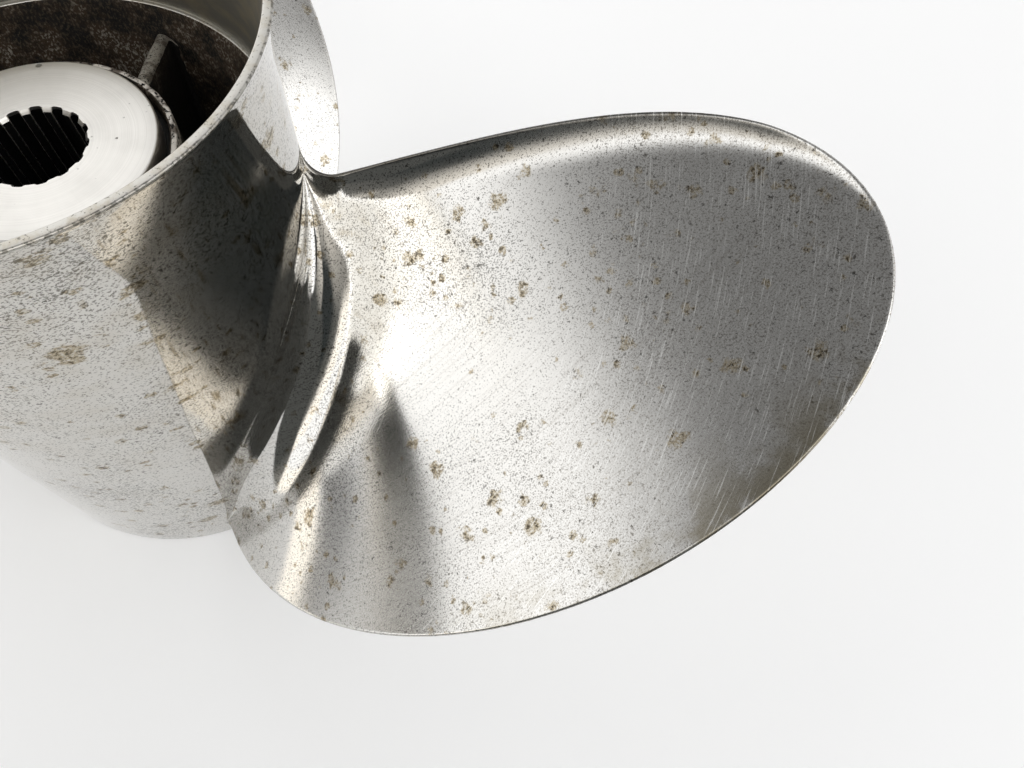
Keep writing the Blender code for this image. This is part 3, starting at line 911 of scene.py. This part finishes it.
def rim_steel(looks, radius):
    """Satin steel, darker and nicked where it rounds over at the rim's own radius."""
    finish = Finish("satin_rim_steel", metallic=1.0)
    spot = finish.position()
    specks = finish.spots(finish.warp(spot, 0.001, 0.0008), 0.0024, 0.22, 0.05, 0.22)
    cloud = finish.cloud(spot, 0.004, 5.0, 0.65)
    pepper = finish.ramp(finish.cloud(spot, 0.0006, 2.0, 0.6) + cloud * 0.16, 0.69, 0.76)
    nicks = finish.ramp(finish.cloud(spot, 0.0012, 2.0), 0.50, 0.58)
    edge = finish.ramp(finish.off_axis(spot), *(radius - inside for inside in RIM_EDGE))
    base = finish.layers(
        looks.rim,
        (specks * 0.4 + finish.ramp(cloud, 0.42, 0.70) * 0.5, looks.stain),
        (pepper * 0.6, looks.pit),
        (edge * (nicks * 0.45 + 0.25), looks.pit),
    )
    return finish.done(base, 0.34 + cloud * 0.15, cloud - specks, 0.00010)


def flare_steel(looks):
    finish = Finish("dull_flare_steel", metallic=0.6)
    spot = finish.position()
    streak = finish.cloud(finish.stretch(spot, (0.35, 0.35, 1.0)), 0.004, 4.0, 0.6)
    cloud = finish.cloud(spot, 0.015, 4.0)
    base = finish.blend(finish.ramp(streak, 0.4, 0.7) * 0.5, looks.flare, looks.stain)
    return finish.done(base, 0.30 + cloud * 0.20, streak, 0.00006)


def cast_bore(looks, name, sooty_and_shaded, clean):
    """Rough cast walls: rust and pale flakes above one height, and below another black deposits with
    painted shade.
    """
    finish = Finish(name, metallic=0.2)
    spot = finish.position()
    lumps = finish.cloud(spot, 0.0016, 6.0, 0.65)
    patches = finish.cloud(spot, 0.009, 5.0, 0.6)
    streaks = finish.cloud(finish.stretch(spot, (1.0, 1.0, 0.6)), 0.0006, 3.0, 0.6)
    # Painted shade with the soot: black below the lower height, deeper in the passages
    near = finish.ramp(finish.part(spot, 2) + patches * 0.012, sooty_and_shaded, clean)
    crust = finish.ramp(streaks, 0.50, 0.62)
    base = finish.layers(
        looks.soot_and_shade,
        (finish.ramp(patches, 0.40, 0.58), looks.rust),
        (crust * 0.5, looks.scale),
        (finish.ramp(patches, 0.46, 0.66) * crust * 0.8, looks.flake_and_painted_light),
    )
    base = finish.blend(near, looks.soot_and_shade, base)
    return finish.done(base, 0.50 + lumps * 0.35, lumps * 0.6 + streaks * 0.4, 0.0006)


def cast_edge(looks, name, pale, most, grain):
    """A pitted cast face, partly rusted, this pale between the pits."""
    finish = Finish(name, metallic=0.1)
    spot = finish.position()
    holes = finish.ramp(finish.cloud(spot, grain, 3.0, 0.65), 0.55, 0.61)
    rust = finish.ramp(finish.cloud(spot, 0.005, 4.0), 0.44, 0.60) * most
    base = finish.layers(pale, (rust, looks.rust), (holes, looks.soot_and_shade))
    return finish.done(base, 0.40 + holes * 0.4, 1.0 - holes, 0.0004)


def bushing_rubber(looks):
    finish = Finish("bushing_rubber", metallic=0.0)
    spot = finish.position()
    grain = finish.cloud(spot, 0.0008, 4.0, 0.6)
    dust = finish.ramp(finish.cloud(spot, 0.009, 4.0), 0.45, 0.8)
    base = finish.blend(dust * 0.4, looks.rubber, looks.rubber_dust)
    return finish.done(base, 0.60 + grain * 0.25, grain, 0.00015)


class PROPELLER_PG_looks(bpy.types.PropertyGroup):
    steel: colour("Steel", "Clean polished stainless steel", (0.66, 0.65, 0.625))
    bright: colour("Bright steel", "Scratches at the tips", (0.92, 0.92, 0.90))
    stain: colour("Stain", "Tea stain and thin rust on the steel", (0.40, 0.335, 0.22))
    film: colour("Film", "Brown film at the tips", (0.33, 0.29, 0.20))
    # Pits, and also the painted dark reflection along the blades' trailing edges
    pit: colour("Pit", "Bottom of a corrosion pit", (0.035, 0.031, 0.024))
    rim: colour("Rim steel", "Satin rim of the barrel", (0.60, 0.585, 0.545))
    machined: colour("Machined steel", "Turned faces", (0.81, 0.79, 0.75))
    machined_dull: colour("Dull steel", "Hazy patches of the turned faces", (0.60, 0.585, 0.55))
    flare: colour("Flare", "Inside of the aft flare", (0.21, 0.20, 0.17))
    # Soot and painted shade: the black deep in the passages and on the ribs' sides, also in the pits
    soot_and_shade: colour("Soot", "Darkest film in the exhaust passages", (0.006, 0.005, 0.004))
    # Old grease, and painted shade: the near-black lands of the deep spline bore
    grease_and_shade: colour("Grease", "Old grease in the spline bore", (0.003, 0.003, 0.003))
    rust: colour("Rust", "Rust in the exhaust passages", (0.060, 0.036, 0.018))
    scale: colour("Scale", "Brown scale on the cast walls and in blotches", (0.15, 0.115, 0.075))
    # Pale flakes on the cast walls, and the painted light on the ribs' tops
    flake_and_painted_light: colour("Flake", "Pale flakes on the cast walls", (0.45, 0.42, 0.36))
    chalk: colour("Chalk", "Pale corroded face of the inner hub", (0.76, 0.71, 0.64))
    rubber: colour("Rubber", "Bushing rubber", (0.022, 0.021, 0.020))
    rubber_dust: colour("Rubber dust", "Dusty bloom on the rubber", (0.075, 0.070, 0.062))


class PROPELLER_PG_stage(bpy.types.PropertyGroup):
    floor_size: length("Floor size", "Side of the pale floor", 6.0)
    floor_colour: colour("Floor", "Colour of the floor", (0.90, 0.90, 0.90))
    floor_glow: number("Floor glow", "Light that the light table adds to the floor", 0.15)
    sky: number("Sky", "Brightness of the room's pale walls", 0.85)
    right: number("Right side", "What the wall on the right adds to that", 0.50)
    left: number("Left side", "What every wall but the far right one adds to that", 0.65)
    window: number("Window", "Brightness of the window on the left", 1.55)
    shade: number("Shade", "Brightness of the dark side in front", 0.035)
    backdrop: number("Backdrop", "Brightness of the plain backdrop", 0.95)
    wall_radius: length("Wall radius", "Distance of the near wall from the axis", 0.30)
    wall_colour: colour("Wall", "Colour of that wall", (1.0, 0.945, 0.86))
    wall_light: number("Wall light", "Brightness of that wall's brightest end", 1.75)
    card_light: number("Card light", "Brightness of the barrel's card", 2.2)
    eye: FloatVectorProperty(
        name="Camera", description="Where the camera stands", size=3, unit="LENGTH",
        default=(0.1229, -0.1283, 0.2782),
    )
    tilt: angle("Tilt", "How far the camera looks down", 62.3706)
    roll: angle("Roll", "How far the camera leans", 5.865)
    lens: number("Lens", "Focal length for a 36 mm wide sensor, in millimetres", 27.035)


class PROPELLER_PG_sizes(bpy.types.PropertyGroup):
    barrel: PointerProperty(type=PROPELLER_PG_barrel)
    inner_hub: PointerProperty(type=PROPELLER_PG_inner_hub)
    rib: PointerProperty(type=PROPELLER_PG_rib)
    sleeve: PointerProperty(type=PROPELLER_PG_sleeve)
    blade: PointerProperty(type=PROPELLER_PG_blade)
    looks: PointerProperty(type=PROPELLER_PG_looks)
    stage: PointerProperty(type=PROPELLER_PG_stage)


def wear(item, *materials):
    """Gives the piece its materials, in the order of its faces' material indices."""
    for material in materials:
        item.data.materials.append(material)


class PROPELLER_OT_barrel(bpy.types.Operator):
    """Add the outer barrel with its flared rim and cast bore"""

    bl_idname = "propeller.barrel"
    bl_label = "Outer Barrel"

    def execute(self, context):
        sizes = context.scene.propeller
        looks = sizes.looks
        bore_rust_and_shade = cast_bore(looks, "rusty_and_shaded_cast_steel", *BARREL_SOOT_AND_SHADE)
        rim = rim_steel(looks, sizes.barrel.rim_radius)
        wear(build_barrel(sizes), polished_steel(looks), rim, flare_steel(looks), bore_rust_and_shade)
        return {"FINISHED"}


class PROPELLER_OT_inner_hub(bpy.types.Operator):
    """Add the inner hub and its ribs"""

    bl_idname = "propeller.inner_hub"
    bl_label = "Inner Hub and Ribs"

    def execute(self, context):
        sizes = context.scene.propeller
        sooty_and_shaded = cast_bore(sizes.looks, "sooty_and_shaded_cast_steel", *HUB_SOOT_AND_SHADE)
        pitted = cast_edge(sizes.looks, "pitted_cast_face", sizes.looks.chalk, 0.9, 0.0012)
        wear(build_inner_hub(sizes), sooty_and_shaded, pitted, machined_steel(sizes.looks))
        # The ribs' tops: rust on a pale colour, painted lighter as if lit from above
        edge = cast_edge(sizes.looks, "rusty_rib_edge_painted_lit", sizes.looks.flake_and_painted_light, 0.7, 0.0005)
        for index in range(sizes.rib.count):
            wear(build_rib(sizes, index), sooty_and_shaded, edge)
        return {"FINISHED"}


class PROPELLER_OT_sleeve(bpy.types.Operator):
    """Add the splined sleeve and its rubber bushing"""

    bl_idname = "propeller.sleeve"
    bl_label = "Splined Sleeve and Bushing"

    def execute(self, context):
        sizes = context.scene.propeller
        wear(build_sleeve(sizes), machined_steel(sizes.looks), greased_and_shaded_bore(sizes.looks))
        wear(build_bushing(sizes), bushing_rubber(sizes.looks))
        return {"FINISHED"}


class PROPELLER_OT_blades(bpy.types.Operator):
    """Add the blades around the barrel"""

    bl_idname = "propeller.blades"
    bl_label = "Blades"

    def execute(self, context):
        sizes = context.scene.propeller
        steel = light_steel(sizes.looks)
        for blade in build_blades(sizes):
            wear(blade, steel)
        return {"FINISHED"}


def camera_matrix(stage):
    """Level along +Y, tilted down, then leaned about the line of sight."""
    tilt = Matrix.Rotation(math.pi / 2.0 - stage.tilt, 4, "X")
    lean = Matrix.Rotation(stage.roll, 4, "Z")
    return Matrix.Translation(stage.eye) @ tilt @ lean


def room_light(stage):
    """The room's light by direction: a window on the left, a dark side in front, a grey ceiling."""
    world = bpy.data.worlds.new("room")
    nodes = Nodes(world)
    toward = nodes.node("ShaderNodeTexCoord", output="Generated")
    turn = nodes.turn(toward)
    rise = nodes.maths("ARCSINE", nodes.part(toward, 2)) * math.degrees(1.0)
    low = nodes.ramp(rise, *WINDOW_FOOT) * nodes.ramp(turn, *WINDOW_FOOT_END)
    fade = nodes.ramp(rise - nodes.ramp(turn, *WINDOW_TOP_LIFT), *WINDOW_TOP)
    left = nodes.between(fade, (1.0 - low) * stage.window, nodes.ramp(turn, *LEFT_CEILING))
    walls = nodes.ramp(turn, *RIGHT_WALL) * stage.right + nodes.ramp(turn, *LEFT_WALL) * stage.left
    right = nodes.between(nodes.ramp(rise, *WALLS_TOP), walls + stage.sky, RIGHT_CEILING)
    window = nodes.ramp(turn, *WINDOW_START) * nodes.ramp(turn, *WINDOW_END, 1.0, 0.0)
    dark = nodes.ramp(turn, *WINDOW_END) * nodes.ramp(turn, *DARK_END, 1.0, 0.0)
    dark = dark * nodes.ramp(rise, *DARK_TOP, 1.0, 0.0)
    level = nodes.between(dark, nodes.between(window, right, left), stage.shade)
    seen = nodes.node("ShaderNodeLightPath", output="Is Camera Ray")
    backdrop = nodes.tree.nodes["Background"]
    nodes.feed(backdrop.inputs["Strength"], nodes.between(seen, level, stage.backdrop))
    nodes.feed(backdrop.inputs["Color"], WHITE)
    return world


def curved_card(name, radius, edges, material):
    """A strip round the part that only reflections see, through (turn, lower and upper height)."""
    columns = []
    for start, stop in zip(edges, edges[1:]):
        for share in spread(0.0, 1.0, CARD_STEPS)[:-1]:
            columns.append([first + (last - first) * share for first, last in zip(start, stop)])
    columns.append(edges[-1])
    shape = bmesh.new()
    rows = [[], []]
    for turn, *heights in columns:
        for row, z in zip(rows, heights):
            row.append(shape.verts.new(polar(radius, math.radians(180.0 + turn), z)))
    for i in range(len(columns) - 1):
        shape.faces.new((rows[0][i], rows[0][i + 1], rows[1][i + 1], rows[1][i]))
    card = mesh_object(name, shape)
    wear(card, material)
    card.visible_camera = card.visible_diffuse = card.visible_shadow = False
    return card


def near_wall(stage):
    """A screen close in front: bright on the left, else dark, with a dark foot and a pale top."""
    finish = Finish("near_wall", roughness=1.0, base_color=BLACK)
    spot = finish.position()
    turn, z = finish.turn(spot), finish.part(spot, 2)
    body = finish.ramp(turn, *WALL_BRIGHT) + finish.ramp(turn, *WALL_DIM)
    foot = finish.ramp(z - turn * FOOT_SLOPE, *FOOT_EDGE)
    body = finish.between(foot, body, finish.ramp(turn, *FOOT_LEVELS))
    above = z - finish.ramp(turn, *TOP_STEP_UP) + finish.ramp(turn, *TOP_STEP_DOWN)
    level = finish.between(finish.ramp(above, *TOP_EDGE), body, finish.ramp(above, *TOP_LEVELS))
    glow = finish.blend(level, WALL_DARK, stage.wall_colour)
    finish.shade(emission_color=glow, emission_strength=stage.wall_light)
    return curved_card("near_wall", stage.wall_radius, WALL_EDGES, finish.owner)


def barrel_card(stage):
    """A bright strip before the wall that adds its light to the barrel's reflections only."""
    nodes = Nodes(bpy.data.materials.new("barrel_card"))
    strength = {"Strength": stage.card_light}
    light = nodes.node("ShaderNodeEmission", inputs=strength, output="Emission")
    clear = nodes.node("ShaderNodeBsdfTransparent", output="BSDF")
    both = nodes.node("ShaderNodeAddShader", inputs={0: light, 1: clear}, output="Shader")
    nodes.feed(nodes.tree.nodes["Material Output"].inputs["Surface"], both)
    nodes.tree.nodes.remove(nodes.tree.nodes["Principled BSDF"])
    card = curved_card("barrel_card", stage.wall_radius - CARD_GAP, BARREL_CARD_EDGES, nodes.owner)
    lit = bpy.data.collections.new("lit_by_barrel_card")
    lit.objects.link(bpy.data.objects[BARREL_PIECE])
    card.light_linking.receiver_collection = lit
    return card


class PROPELLER_OT_stage(bpy.types.Operator):
    """Add the camera, the pale floor and the room's light"""

    bl_idname = "propeller.stage"
    bl_label = "Stage"

    def execute(self, context):
        stage = context.scene.propeller.stage
        camera = bpy.data.objects.new("camera", bpy.data.cameras.new("camera"))
        context.scene.collection.objects.link(camera)
        camera.data.sensor_width = 36.0
        camera.data.lens = stage.lens
        camera.data.clip_start = 0.01
        camera.matrix_world = camera_matrix(stage)
        context.scene.camera = camera
        shape = bmesh.new()
        bmesh.ops.create_grid(shape, x_segments=1, y_segments=1, size=stage.floor_size / 2.0)
        floor = mesh_object("floor", shape)
        glow = {"emission_color": WHITE, "emission_strength": stage.floor_glow}
        paper = Finish("floor_paper", roughness=0.9, base_color=stage.floor_colour, **glow)
        wear(floor, paper.owner)
        near_wall(stage)
        barrel_card(stage)
        context.scene.world = room_light(stage)
        context.scene.view_settings.view_transform = "Standard"
        return {"FINISHED"}


class PROPELLER_PT_panel(bpy.types.Panel):
    """Lists the propeller's pieces in the sidebar"""

    bl_idname = "PROPELLER_PT_panel"
    bl_label = "Outboard Propeller"
    bl_space_type = "VIEW_3D"
    bl_region_type = "UI"
    bl_category = "Propeller"

    def draw(self, context):
        for operator in OPERATORS:
            self.layout.operator(operator.bl_idname)


GROUPS = (
    PROPELLER_PG_barrel, PROPELLER_PG_inner_hub, PROPELLER_PG_rib, PROPELLER_PG_sleeve,
    PROPELLER_PG_blade, PROPELLER_PG_looks, PROPELLER_PG_stage, PROPELLER_PG_sizes,
)
OPERATORS = (
    PROPELLER_OT_barrel, PROPELLER_OT_inner_hub, PROPELLER_OT_sleeve, PROPELLER_OT_blades,
    PROPELLER_OT_stage,
)
CLASSES = GROUPS + OPERATORS + (PROPELLER_PT_panel,)


def register():
    for item in CLASSES:
        bpy.utils.register_class(item)
    bpy.types.Scene.propeller = PointerProperty(type=PROPELLER_PG_sizes)


def unregister():
    del bpy.types.Scene.propeller
    for item in reversed(CLASSES):
        bpy.utils.unregister_class(item)


def main():
    register()
    bpy.ops.propeller.barrel()
    bpy.ops.propeller.inner_hub()
    bpy.ops.propeller.sleeve()
    bpy.ops.propeller.blades()
    bpy.ops.propeller.stage()


if __name__ == "__main__":
    main()
